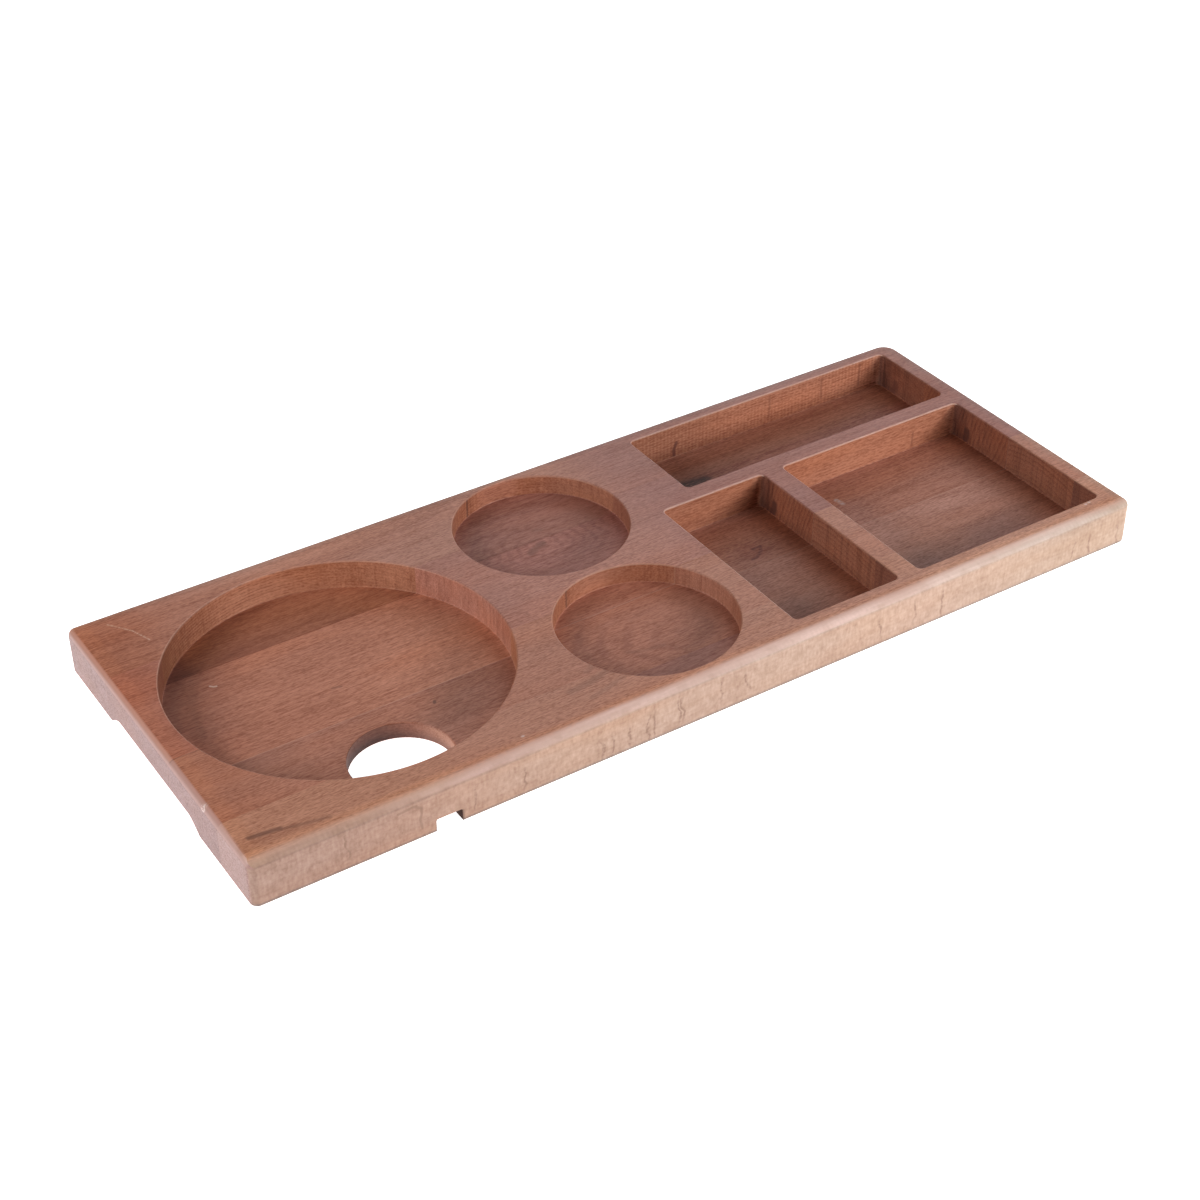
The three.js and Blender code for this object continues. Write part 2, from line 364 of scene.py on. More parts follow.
class Graph:
    """Short names for the nodes of one material."""

    def __init__(self, material):
        material.use_nodes = True
        self.tree = material.node_tree
        self.tree.nodes.clear()

    def node(self, kind, inputs=None, **settings):
        n = self.tree.nodes.new(kind)
        for key, value in settings.items():
            setattr(n, key, value)
        for key, value in (inputs or {}).items():
            self.put(n.inputs[key], value)
        return n

    def put(self, socket, value):
        if isinstance(value, Field):
            self.tree.links.new(value.socket, socket)
        elif isinstance(value, bpy.types.NodeSocket):
            self.tree.links.new(value, socket)
        else:
            socket.default_value = value

    def math(self, operation, *args, clamp=False):
        n = self.node("ShaderNodeMath", operation=operation, use_clamp=clamp)
        for socket, value in zip(n.inputs, args):
            self.put(socket, value)
        return Field(self, n.outputs[0])

    def size(self, a):
        return self.math("ABSOLUTE", a)

    def least(self, a, b):
        return self.math("MINIMUM", a, b)

    def most(self, a, b):
        return self.math("MAXIMUM", a, b)

    def hypot(self, a, b):
        return self.math("SQRT", self.math("ADD", a * a, b * b))

    def step(self, v, a, b):
        """0 at a, 1 at b, smooth between."""
        n = self.node("ShaderNodeMapRange", interpolation_type="SMOOTHSTEP")
        self.put(n.inputs["Value"], v)
        n.inputs["From Min"].default_value, n.inputs["From Max"].default_value = a, b
        return Field(self, n.outputs["Result"])

    def band(self, v, low, high, soft):
        return self.step(v, low - soft, low + soft) * self.step(v, high + soft, high - soft)

    def vector(self, x, y, z):
        return self.node("ShaderNodeCombineXYZ", {"X": x, "Y": y, "Z": z}).outputs[0]

    def scaled(self, vector, size, shift):
        n = self.node("ShaderNodeVectorMath", operation="MULTIPLY_ADD")
        self.put(n.inputs[0], vector)
        n.inputs[1].default_value = [1.0 / s for s in size]
        n.inputs[2].default_value = shift
        return n.outputs[0]

    def noise(self, vector, size, shift, detail=2.0, rough=0.5, twist=0.0):
        n = self.node("ShaderNodeTexNoise", {"Vector": self.scaled(vector, size, shift), "Scale": 1.0, "Detail": detail,
                                             "Roughness": rough, "Distortion": twist}, noise_dimensions="3D")
        return Field(self, n.outputs[0])

    def cells(self, vector, size, shift):
        n = self.node("ShaderNodeTexVoronoi", {"Vector": self.scaled(vector, size, shift), "Scale": 1.0, "Randomness": 1.0},
                      voronoi_dimensions="3D", feature="F1")
        tone = self.node("ShaderNodeSeparateColor", {"Color": n.outputs["Color"]})
        return Field(self, n.outputs["Distance"]), Field(self, tone.outputs[0])

    def ramp(self, v, stops):
        n = self.node("ShaderNodeValToRGB", {"Fac": v})
        r = n.color_ramp
        while len(r.elements) < len(stops):
            r.elements.new(0.5)
        for e, (at, colour) in zip(r.elements, stops):
            e.position, e.color = at, (*colour, 1)
        return n.outputs[0]

    def mix(self, fac, a, b, blend="MIX"):
        n = self.node("ShaderNodeMix", data_type="RGBA", blend_type=blend, clamp_factor=True)
        self.put(n.inputs[0], fac)
        for socket, value in ((n.inputs[6], a), (n.inputs[7], b)):
            self.put(socket, (*value, 1) if isinstance(value, tuple) else value)
        return n.outputs[2]

    def tint(self, colour, by, where):
        """colour times by where the mask is 1."""
        return self.mix(where, colour, by, "MULTIPLY")

    def curve(self, v, stops):
        """A number by straight lines between (v, number) stops."""
        lo, hi, top = stops[0][0], stops[-1][0], 2.0
        fac = self.math("MULTIPLY", v - lo, 1.0 / (hi - lo), clamp=True)
        colour = self.ramp(fac, [((a - lo) / (hi - lo), (n / top,) * 3) for a, n in stops])
        return Field(self, self.node("ShaderNodeSeparateColor", {"Color": colour}).outputs[0]) * top

    def near_line(self, a, b, points, half, soft):
        """1 on a polyline in the plane of a and b, falling to 0 past half + soft."""
        best = None
        for (x0, y0), (x1, y1) in zip(points, points[1:]):
            dx, dy = x1 - x0, y1 - y0
            px, py = a - x0, b - y0
            t = self.math("MULTIPLY", px * dx + py * dy, 1.0 / (dx * dx + dy * dy), clamp=True)
            d = self.hypot(px - t * dx, py - t * dy)
            best = d if best is None else self.least(best, d)
        return self.step(best, half + soft, half)


def beech(name, look):
    """Oiled steamed beech, cut from a log whose pith lies at look["pith"] (y, z) of the stave."""
    material = bpy.data.materials.new(name)
    g = Graph(material)
    seed = look["seed"]
    coords = g.node("ShaderNodeTexCoord")
    scale = g.node("ShaderNodeVectorMath", {0: coords.outputs["Object"], 3: 1000.0}, operation="SCALE")
    at = scale.outputs[0]
    split = g.node("ShaderNodeSeparateXYZ", {0: at})
    x, y, z = (Field(g, s) for s in split.outputs)
    geo = g.node("ShaderNodeNewGeometry")
    facing = g.node("ShaderNodeSeparateXYZ", {0: geo.outputs["Normal"]})
    nx, ny, nz = (Field(g, s) for s in facing.outputs)

    # where on the tray: outline, recess walls, floors, softened rims
    ex, ey = g.size(x) - (LENGTH / 2 - EDGE_R), g.size(y) - (WIDTH / 2 - EDGE_R)
    edge = g.hypot(g.most(ex, 0.0), g.most(ey, 0.0)) + g.least(g.most(ex, ey), 0.0) - EDGE_R
    upright = g.step(g.size(nz), 0.75, 0.45)
    inside = g.step(edge, -5.0, -7.0)
    wall = upright * inside
    level = g.step(nz, 0.5, 0.8)
    kettle_floor = level * g.band(z, 8.6, 10.0, 0.2)
    cup_floor = level * g.band(z, 13.6, 15.0, 0.2)
    pocket_floor = level * g.band(z, 4.7, 6.1, 0.2)
    floors = kettle_floor + cup_floor + pocket_floor
    top = level * g.step(z, 20.0, 21.0)
    pocketed = g.step(x, 38.0, 42.0)
    end_grain = g.step(g.size(nx), 0.5, 0.95)
    front_side = g.step(0.0 - ny, 0.12, 0.60) * g.step(y, -89.5, -92.0)
    left_side = g.step(0.0 - nx, 0.50, 0.92) * g.step(x, -246.5, -248.0)
    right_side = g.step(nx, 0.03, 0.40) * g.step(x, 245.0, 246.5)
    back_side = g.step(ny, 0.05, 0.50) * g.step(y, 94.0, 95.5)
    shoulder = g.step(y, -93.2, -97.0) * g.step(nz, 0.50, 0.86) * g.step(z, 20.0, 21.0)
    left_edge = g.step(0.0 - nx, 0.06, 0.40) * g.step(nz, 0.05, 0.40) * g.step(x, -246.5, -247.5) * g.step(z, 20.0, 21.0)
    in_hole = wall * g.step(z, 9.7, 9.3) * g.step(g.hypot(x - HOLE[0], y - HOLE[1]), 27.0, 26.0)

    # the log: distance from the pith and the way round it, bent a little along the grain
    wave = g.noise(at, (150, 60, 60), (seed, 3.1, 0.7), 1.0) - 0.5
    ripple = g.noise(at, (46, 15, 15), (seed, 7.7, 2.3), 2.0) - 0.5
    py, pz = y - look["pith"][0], z - look["pith"][1]
    rad = g.hypot(py, pz) + x * look["tilt"] + wave * look["wave"] + ripple * 1.5
    reach = math.hypot(look["mid"][0] - look["pith"][0], look["mid"][1] - look["pith"][1])
    around = g.math("ARCTAN2", py, pz) * reach
    log = g.vector(x, rad, around)

    turns = rad * (1.0 / look["pitch"])
    part = g.math("FRACT", turns)
    year = g.node("ShaderNodeTexWhiteNoise", {"W": g.math("FLOOR", turns)}, noise_dimensions="1D")
    late = g.step(part, 0.25, 0.93) * g.step(part, 1.0, 0.94) * (Field(g, year.outputs["Value"]) * 0.7 + 0.3)

    bands = g.noise(log, (190, 10, 12), (seed, 0.4, 9.2), 2.0, 0.5)
    streak = g.noise(log, (80, 2.3, 2.6), (4.5, seed, 1.2), 2.0, 0.55)
    fibre = g.noise(at, (9.5, 0.66, 0.66), (seed, 1.9, 5.5), 2.0, 0.6)
    dash = g.noise(at, (2.7, 0.70, 0.70), (2.2, seed, 8.1), 1.0, 0.6)
    pores = g.noise(at, (1.5, 1.5, 3.2), (1.3, seed, 0.8), 2.0, 0.6)
    fleck = g.noise(at, (2.4, 2.4, 2.0), (seed, 4.2, 6.1), 2.0, 0.6)
    fibre = fibre + (pores - fibre) * front_side
    dash = dash + (fleck - dash) * front_side
    cloud = g.noise(at, (120, 40, 40), (seed, 5.0, 4.4), 2.0, 0.5)
    warm = g.noise(at, (140, 30, 30), (6.6, seed, 3.9), 2.0, 0.5)
    far, shade = g.cells(log, (2.6, 13.0, 0.62), (seed, 0.0, 0.0))
    ray = g.step(far, 0.40, 0.15) * (shade * 0.8 + 0.2)

    v = (0.5 + (bands - 0.5) * look["bands"] + (cloud - 0.5) * (floors * 0.25 + look["cloud"]) + (late - 0.2) * (end_grain * pocketed * look["rings"] + look["late"])
         + (streak - 0.5) * (look["streak"] + floors * 0.06 + pocket_floor * 0.22 - front_side * (look["streak"] - 0.06)) + (fibre - 0.5) * (1.10 - front_side * 0.45 + pocket_floor * 0.2 + left_side * 0.6) + (dash - 0.5) * (1.30 - front_side * 0.63 + top * 0.20 + pocket_floor * 0.2 + left_side * 0.6 - wall * (1.0 - pocketed) * 0.6) + (ray - 0.2) * look["ray"])
    base = look["base"]
    light = tuple(c * k for c, k in zip(base, (1.24, 1.34, 1.42)))
    dark = tuple(c * k for c, k in zip(base, (0.70, 0.60, 0.55)))
    colour = g.ramp(v, [(0.10, light), (0.5, base), (0.92, dark)])
    colour = g.tint(colour, (1.05, 0.97, 0.88), g.step(warm, 0.40, 0.70))

    # tones of the cut faces
    for mask, by in ((kettle_floor, look["kettle_floor"]), (cup_floor, look["cup_floor"]), (pocket_floor, look["pocket_floor"])):
        colour = g.tint(colour, by, mask)
    # the pockets' cross-cut walls are made darker, their long-grain walls lighter and warmer
    colour = g.tint(colour, look["end_wall"], wall * pocketed * end_grain)
    colour = g.tint(colour, look["wall"], wall * pocketed * (1.0 - end_grain))
    # painted light: lighter where the light reaches along the wall; painted shade: darker and redder on the floors
    # beside the cross-cut walls
    colour = g.tint(colour, (0.82, 0.82, 0.80), wall * pocketed * (1.0 - end_grain) * g.step(x, 165.0, 75.0) * g.step(y, 80.0, 90.0))
    beside = g.most(g.step(x, 214.0, 236.0), g.step(x, 86.0, 103.0) * g.step(x, 113.0, 110.0) * g.step(y, 30.0, 28.0))
    colour = g.tint(colour, (0.86, 0.72, 0.60), pocket_floor * beside)
    # painted shade: the cross-cut walls darken towards the pockets' back corners
    corner = g.most(g.step(y, 74.0, 88.0), g.step(y, 8.0, 23.0) * g.step(y, 30.0, 28.0)) * wall * pocketed * end_grain
    upright_grain = g.noise(at, (6, 1.9, 45), (3.7, seed, 2.9), 2.0, 0.65)
    colour = g.tint(colour, (0.56, 0.54, 0.58), corner)
    # and the painted corner shade turns greyer right in the back corners
    back_corner = g.most(g.step(y, 19.5, 24.5) * g.step(y, 30.0, 28.0), g.step(y, 84.0, 89.5))
    back_corner = back_corner * g.most(g.step(x, 231.0, 238.0), g.step(x, 99.0, 106.0) * g.step(x, 113.0, 110.0) * g.step(y, 30.0, 28.0))
    colour = g.tint(colour, (1.18, 1.38, 1.60), back_corner * wall * pocketed)
    colour = g.tint(colour, (0.87, 0.86, 0.85), wall * pocketed * end_grain * g.step(z, 12.5, 7.0))
    colour = g.tint(colour, (0.95, 0.95, 0.95), wall * pocketed * (1.0 - end_grain) * g.step(x, 116.0, 113.0) * g.step(y, 30.0, 28.0))
    colour = g.tint(colour, (0.50, 0.42, 0.39), (corner * 0.6 + 0.4) * wall * pocketed * end_grain * g.step(upright_grain, 0.47, 0.62))
    # round walls: a set tone by bearing round the recess, with rough streaks where the cutter ran against the grain
    turn = g.math("ARCTAN2", 0.0 - ny, 0.0 - nx) * (180.0 / math.pi)
    tone = g.curve(turn, ROUND_WALL)
    lit = g.vector(g.math("POWER", tone, 0.75), tone, g.math("POWER", tone, 1.25))
    bowl = wall * (1.0 - pocketed) * (1.0 - in_hole)
    colour = g.mix(bowl, colour, g.mix(1.0, colour, lit, "MULTIPLY"))
    bowl_grain = g.noise(at, (1.7, 1.7, 26), (seed, 2.2, 7.9), 2.0, 0.6)
    across = bowl * g.step(g.size(nx), 0.15, 0.60)
    colour = g.tint(colour, (0.74, 0.65, 0.59), across * g.step(bowl_grain, 0.52, 0.66) * 0.5)
    colour = g.tint(colour, (1.10, 1.13, 1.14), across * g.step(bowl_grain, 0.46, 0.36))
    in_kettle = g.step(x, -66.0, -69.0)
    colour = g.tint(colour, look["kettle_wall"], bowl * in_kettle)
    colour = g.tint(colour, look["cup_wall"], bowl * (1.0 - in_kettle))
    # painted shade on the back-left stretch of the round walls, deepest in the kettle
    colour = g.tint(colour, (0.42, 0.34, 0.26), bowl * g.step(turn, 108.0, 148.0) * g.step(turn, 180.0, 158.0) * (in_kettle * 0.65 + 0.33))
    ridge = g.math("SINE", z * (2 * math.pi / 1.75) + ripple * 3.0)
    colour = g.tint(colour, (0.80, 0.72, 0.66), bowl * in_kettle * g.step(ridge, 0.0, 0.9) * g.band(turn, 72.0, 146.0, 14.0) * (0.35 + g.step(cloud, 0.35, 0.6) * 0.65))
    colour = g.mix(bowl * (1.0 - in_kettle) * g.band(turn + ripple * 2.0, 115.8, 117.4, 0.8) * 0.9, colour, (0.14, 0.05, 0.03))
    # the cable hole's wall is painted in shade, darkest at the bottom and round the left, and greyer round the right
    hole_shade = g.curve(turn, HOLE_WALL_SHADE) * (0.45 + g.step(z, 0.0, 8.0) * 0.55)
    colour = g.mix(in_hole, colour, g.mix(1.0, colour, g.vector(g.math("POWER", hole_shade, 0.9), hole_shade, g.math("POWER", hole_shade, 0.95)), "MULTIPLY"))
    colour = g.tint(colour, (1.02, 1.20, 1.25), in_hole * g.step(turn, 60.0, 10.0))

    # outer faces: paler and greyer, partly sanded wood and partly a painted sheen
    colour = g.tint(colour, look["front_side"], front_side)
    colour = g.tint(colour, look["left_side"], left_side * (1.0 - front_side))
    # painted grey reflection on the back and right faces, strongest on their roundovers
    over = g.step(nz, 0.02, 0.14)
    colour = g.tint(colour, (0.84, 1.04, 1.22), back_side * over)
    colour = g.tint(colour, (0.88, 1.02, 1.06), back_side * (1.0 - over))
    colour = g.tint(colour, (0.95, 1.20, 1.36), right_side * (1.0 - front_side) * over)
    colour = g.tint(colour, (0.92, 1.06, 1.10), right_side * (1.0 - front_side) * (1.0 - over))
    colour = g.tint(colour, (1.08, 1.06, 0.99), top * g.step(x, -238.0, -244.0))
    # painted sheen: the top greyer along the back and right edges
    edge_sheen = g.most(g.step(x, 243.5, 247.5), g.step(y, 94.0, 97.0)) * top
    colour = g.tint(colour, (0.95, 1.09, 1.17), edge_sheen * (1.0 - front_side))
    colour = g.tint(colour, (0.76, 0.80, 0.84), front_side * g.step(nx, 0.35, 0.85))
    # painted shade: the left end's top roundover is given a set colour, darker where it turns steeply down
    colour = g.mix(left_edge * 0.9, colour, g.mix(g.step(0.0 - nx, 0.40, 0.80), (0.54, 0.31, 0.27), (0.40, 0.235, 0.205)))

    # softened rims: a little paler all round, with a painted highlight where they face the front and the right
    rim = inside * g.step(z, THICK - 0.95, THICK - 0.65) * g.step(nz, 0.985, 0.90)
    rim_highlight = g.most(g.step(0.0 - ny, 0.15, 0.55), g.step(nx, 0.12, 0.40) * (0.45 + g.step(nz, 0.45, 0.65) * 0.85)) * (0.55 + g.step(dash, 0.40, 0.58) * 0.45)
    colour = g.mix(rim * (rim_highlight * (0.12 + pocketed * 0.50) + 0.08), colour, (0.74, 0.50, 0.41))
    # painted highlight along the eased front edge, broken up with the grain, faint at the left and right ends
    highlight_breakup = g.step(cloud * 0.5 + streak * 0.3 + dash * 0.2, 0.38, 0.58) * 0.45 + 0.64
    colour = g.mix(shoulder * highlight_breakup * (0.34 + g.step(x, -210.0, -112.0) * 0.63 - g.step(x, 60.0, 140.0) * 0.10 - g.step(x, 190.0, 242.0) * 0.48), colour, (0.74, 0.50, 0.445))
    # painted shade inside the cable groove, where the lit floor below would otherwise light its walls
    groove_shade = g.band(x, GROOVE_X - 8.0, GROOVE_X + 8.0, 0.3) * g.step(z, 8.6, 8.2) * g.step(y, -99.6, -99.0) * g.step(y, -78.0, -79.0)
    colour = g.tint(colour, (0.14, 0.13, 0.13), groove_shade)

    rough = 0.46 + (fibre - 0.5) * 0.24 + (streak - 0.5) * 0.12 + wall * 0.18 + floors * 0.14 + shoulder * 0.04 + groove_shade * 0.5
    far1 = g.hypot(x + 16.0, (y - 48.0) * 1.25) + ripple * 22.0
    far2 = g.hypot(x - 2.0, (y + 52.0) * 1.4) + ripple * 14.0
    swirl = g.math("SINE", far1 * (2 * math.pi / 6.4)) * g.step(y, 2.0, 4.0) + g.math("SINE", far2 * (2 * math.pi / 13.0)) * g.step(y, 2.0, 0.0) * 0.6
    colour = g.tint(colour, (0.86, 0.82, 0.82), cup_floor * g.step(swirl, -0.2, 0.9) * g.step(cloud, 0.30, 0.62))
    relief = fibre * 0.8 + dash * 0.6 + late * 0.2 - ray * 0.25

    # chatter of the cutter on the recess walls and of the planer on the front edge
    sawn = wall * g.step(g.size(ny), 0.55, 0.9)
    comb = g.math("SINE", x * (2 * math.pi / 2.35) + wave * 7.0)
    comb2 = g.math("SINE", z * (2 * math.pi / 1.7) + x * 0.02 + ripple * 5.0 + dash * 3.0)
    patchy = g.step(cloud, 0.35, 0.65)
    colour = g.tint(colour, (0.82, 0.75, 0.70), sawn * (comb * 0.5 + 0.5) * (patchy * 0.5 + 0.2) * (g.step(y, 80.0, 90.0) * 0.95 + 0.4))
    colour = g.tint(colour, (0.76, 0.68, 0.60), sawn * g.step(comb2, 0.1, 0.9) * g.step(dash, 0.40, 0.60) * (g.step(y, 80.0, 90.0) * 0.35 + 0.55))
    colour = g.tint(colour, (0.93, 0.91, 0.89), front_side * (comb * 0.5 + 0.5) * (patchy * 0.6 + 0.2))
    relief = relief + comb * sawn * 0.10

    if look["marks"]:
        colour = look["marks"](g, colour, dict(x=x, y=y, z=z, nx=nx, ny=ny, nz=nz, top=top, wall=wall, kettle_floor=kettle_floor, cup_floor=cup_floor,
                                               pocket_floor=pocket_floor, floors=floors, front_side=front_side, wave=wave, ripple=ripple,
                                               fibre=fibre, dash=dash, streak=streak, cloud=cloud, turn=turn, bowl=bowl, left_side=left_side, at=at, rim=rim))

    bump = g.node("ShaderNodeBump", {"Strength": 0.35, "Distance": 0.00012, "Height": relief})
    shader = g.node("ShaderNodeBsdfPrincipled", {"Base Color": colour, "Roughness": rough, "Normal": bump.outputs[0]})
    shader.inputs["Specular IOR Level"].default_value = 0.5
    out = g.node("ShaderNodeOutputMaterial")
    g.tree.links.new(shader.outputs[0], out.inputs["Surface"])
    return material


# tone of a round wall by its bearing from the middle of the recess, degrees
ROUND_WALL = [(-20, 0.80), (0, 0.92), (28, 1.08), (46, 1.02), (67, 0.86), (79, 0.92), (87, 1.14), (97, 1.14), (107, 0.98), (115, 0.74), (121, 0.90), (140, 0.90), (180, 0.80)]
# painted shade of the cable hole's wall, by bearing from its middle, degrees
HOLE_WALL_SHADE = [(-180, 0.36), (-120, 0.60), (-40, 0.95), (20, 0.84), (55, 0.58), (85, 0.36), (120, 0.30), (180, 0.36)]
DARK, PALE = (0.15, 0.062, 0.04), (0.66, 0.46, 0.38)


def back_marks(g, colour, s):
    x, y, z = s["x"], s["y"], s["z"]
    # the kettle floor: painted shade on its back-left part, deepest by the left wall; a darker line at the seam,
    # lighter to the right and warmer to the left
    shade = s["kettle_floor"] * g.step(y, 74.0, 53.0) * g.step(x, -110.0, -200.0)
    colour = g.tint(colour, (0.78, 0.72, 0.76), shade)
    colour = g.tint(colour, (0.85, 0.78, 0.76), s["kettle_floor"] * g.step(y, 52.9, 52.2))
    colour = g.tint(colour, (1.09, 1.09, 1.08), s["kettle_floor"] * g.step(x, -128.0, -112.0))
    colour = g.tint(colour, (1.0, 0.97, 0.87), s["kettle_floor"] * g.step(x, -180.0, -200.0))
    colour = g.tint(colour, (0.58, 0.56, 0.70), s["kettle_floor"] * g.step(x, -202.0, -214.0))
    # painted shade on the long pocket's floor towards its front wall
    colour = g.tint(colour, (0.84, 0.80, 0.86), s["pocket_floor"] * g.step(y, 72.0, 60.0))
    # a scratch and a warmer, darker left end on top
    scratch = s["top"] * g.near_line(x, y, [(-233, 91), (-229, 85.5), (-225, 80), (-221, 69)], 0.12, 0.5) * g.step(s["fibre"], 0.38, 0.55)
    colour = g.mix(scratch * 0.85, colour, PALE)
    colour = g.tint(colour, (0.97, 0.84, 0.72), s["top"] * g.step(x, -200.0, -236.0))
    colour = g.tint(colour, (1.10, 1.16, 1.18), s["top"] * g.band(x, -185.0, -70.0, 18.0) * g.step(y, 84.0, 92.0))
    colour = g.tint(colour, (0.80, 0.71, 0.78), s["top"] * g.step(x, 5.0, 50.0))
    # dark flecks in the long pocket's back wall
    sawn = s["wall"] * g.step(y, 90.6, 91.0) * g.step(x, 60.0, 66.0)
    knot = g.near_line(x, z, [(96.3, 6.5), (96.0, 9.5), (97.6, 14.0)], 0.5, 1.1)
    colour = g.mix(sawn * knot * 0.8, colour, (0.11, 0.028, 0.018))
    for at_x, k in ((161.1, 0.35), (197.6, 0.45), (224.2, 0.5)):
        colour = g.mix(sawn * g.step(g.size(x + s["ripple"] * 3.0 - at_x), 1.1, 0.3) * g.band(z, 9.0, 23.0, 1.5) * k, colour, (0.17, 0.052, 0.028))
    # and one in its cross-cut wall, whose back corner is paler
    cross = s["wall"] * g.step(x, 236.0, 238.5) * g.step(s["nx"], -0.6, -0.9)
    colour = g.tint(colour, (1.32, 1.36, 1.30), cross * g.step(y, 83.0, 87.5))
    colour = g.mix(cross * g.near_line(y + s["ripple"] * 2.0, z, [(78.0, 7.0), (76.6, 10.0), (76.4, 12.8)], 0.8, 2.4) * 0.6, colour, (0.11, 0.03, 0.018))
    # paler bands on the long pocket's floor
    colour = g.tint(colour, (1.13, 1.13, 1.11), s["pocket_floor"] * g.band(y, 78.0, 83.0, 3.0) * g.step(x, 145.0, 100.0))
    colour = g.tint(colour, (1.08, 1.05, 1.10), s["pocket_floor"] * g.step(y, 70.5, 66.0))
    # a stain on the long pocket's floor
    stain = s["pocket_floor"] * g.near_line(x, y, [(80.0, 65.5), (88.0, 64.0), (97.0, 62.5)], 1.0, 5.5) * g.step(s["cloud"] * 0.4 + s["dash"] * 0.6, 0.30, 0.55)
    colour = g.mix(stain * 0.8, colour, (0.045, 0.028, 0.026))
    # a smudge on the back cup's floor
    smudge = s["cup_floor"] * g.near_line(x, y, [(-12.5, 60.5), (-9.5, 59.5)], 0.3, 1.8)
    return g.mix(smudge * 0.30, colour, DARK)


def centre_marks(g, colour, s):
    x, y, z = s["x"], s["y"], s["z"]
    # painted light and shade on the kettle floor: lighter towards the cable hole and the right, darker along the left
    # wall
    colour = g.tint(colour, (1.22, 1.25, 1.24), s["kettle_floor"] * g.step(x - y * 0.6, -185.0, -95.0))
    colour = g.tint(colour, (0.86, 0.84, 0.86), s["kettle_floor"] * g.step(x - y * 0.4, -195.0, -225.0))
    out = g.hypot(x - KETTLE[0], y - KETTLE[1])
    colour = g.tint(colour, (0.66, 0.66, 0.70), s["kettle_floor"] * g.step(out, 71.0, 80.0) * g.step(x, -195.0, -208.0) * g.step(y, 6.0, 22.0))
    colour = g.tint(colour, (1.15, 1.14, 1.12), s["kettle_floor"] * g.step(x, -204.0, -213.0) * g.step(y, 10.0, 0.0))
    colour = g.mix(s["kettle_floor"] * g.near_line(x, y, [(-205.2, 40.0), (-204.0, 38.6), (-202.6, 38.2)], 0.25, 0.45) * 0.75, colour, PALE)
    colour = g.mix(s["kettle_floor"] * g.near_line(x, y, [(-157.5, 6.6), (-153.5, 5.6)], 0.3, 0.8) * 0.45, colour, DARK)
    # smudges and faint swirls on the back cup's floor
    colour = g.mix(s["cup_floor"] * g.near_line(x, y, [(-24.5, 44.0), (-20.0, 46.5), (-15.0, 48.5)], 0.6, 2.6) * 0.48, colour, DARK)
    colour = g.tint(colour, (1.20, 1.32, 1.28), s["bowl"] * g.step(y, 4.0, 2.0) * g.step(x, -66.0, -62.0))
    # front cup: the strip of this stave in it is warmer
    colour = g.tint(colour, (1.10, 1.16, 1.02), s["cup_floor"] * g.step(y, 8.0, 0.0))
    # top: orange at the left end, cooler to the right
    colour = g.tint(colour, (1.0, 0.88, 0.76), s["top"] * g.step(x, -215.0, -240.0))
    colour = g.tint(colour, (0.85, 0.80, 0.87), s["top"] * g.step(x, 20.0, 60.0))
    colour = g.tint(colour, (0.98, 0.94, 0.91), s["top"] * g.step(x, 108.0, 122.0))
    colour = g.tint(colour, (1.12, 1.14, 1.12), s["top"] * g.step(y, 24.0, 6.0) * g.band(x, -58.0, 42.0, 8.0))
    # knot in the narrow pocket's floor and a scuff in the square pocket's
    knot = s["pocket_floor"] * g.near_line(x, y, [(79.3, -5.0), (84.0, -4.6), (82.0, -8.5), (76.8, -12.1), (73.8, -12.5)], 0.35, 1.1)
    colour = g.mix(knot * (0.35 + g.step(s["dash"], 0.38, 0.56) * 0.4), colour, (0.14, 0.042, 0.038))
    colour = g.tint(colour, (0.88, 0.76, 0.72), s["pocket_floor"] * g.step(g.hypot((x - 78.0) * 0.8, y + 7.0), 11.0, 3.0))
    colour = g.mix(s["pocket_floor"] * g.near_line(x, y, [(143.6, 7.6), (144.0, 5.2), (144.3, 3.4)], 0.6, 1.6) * (0.3 + g.step(s["dash"], 0.40, 0.56) * 0.4), colour, (0.54, 0.41, 0.37))
    # painted sheen: the square pocket's floor greyer towards its left end
    colour = g.tint(colour, (1.05, 1.13, 1.26), s["pocket_floor"] * g.step(x, 163.0, 138.0) * g.step(x, 117.0, 121.0) * g.step(y, 8.0, -4.0))
    # a vertical fleck in the square pocket's back wall, and cross-grain streaks at the pockets' right ends
    sawn = s["wall"] * g.step(y, 25.5, 25.9) * g.step(x, 118.0, 121.0)
    colour = g.mix(sawn * g.step(g.size(x + s["ripple"] * 3.0 - 210.1), 1.0, 0.3) * g.band(z, 7.0, 16.0, 1.5) * 0.5, colour, (0.19, 0.06, 0.032))
    # a dark red spot that runs along the grain, so it shows in both cross-cut walls
    spot = s["wall"] * g.step(x, 105.0, 106.5) * g.step(s["nx"], -0.6, -0.9) * g.near_line(y + s["ripple"] * 2.0, z, [(15.4, 7.0), (14.4, 9.5), (14.4, 12.4)], 1.1, 2.4)
    colour = g.mix(spot * 0.85, colour, (0.080, 0.022, 0.013))
    # thin seam to the inner front stave
    return g.mix((s["floors"] + s["wall"] * 0.5) * g.step(y, -17.9, -18.3) * 0.25, colour, PALE)


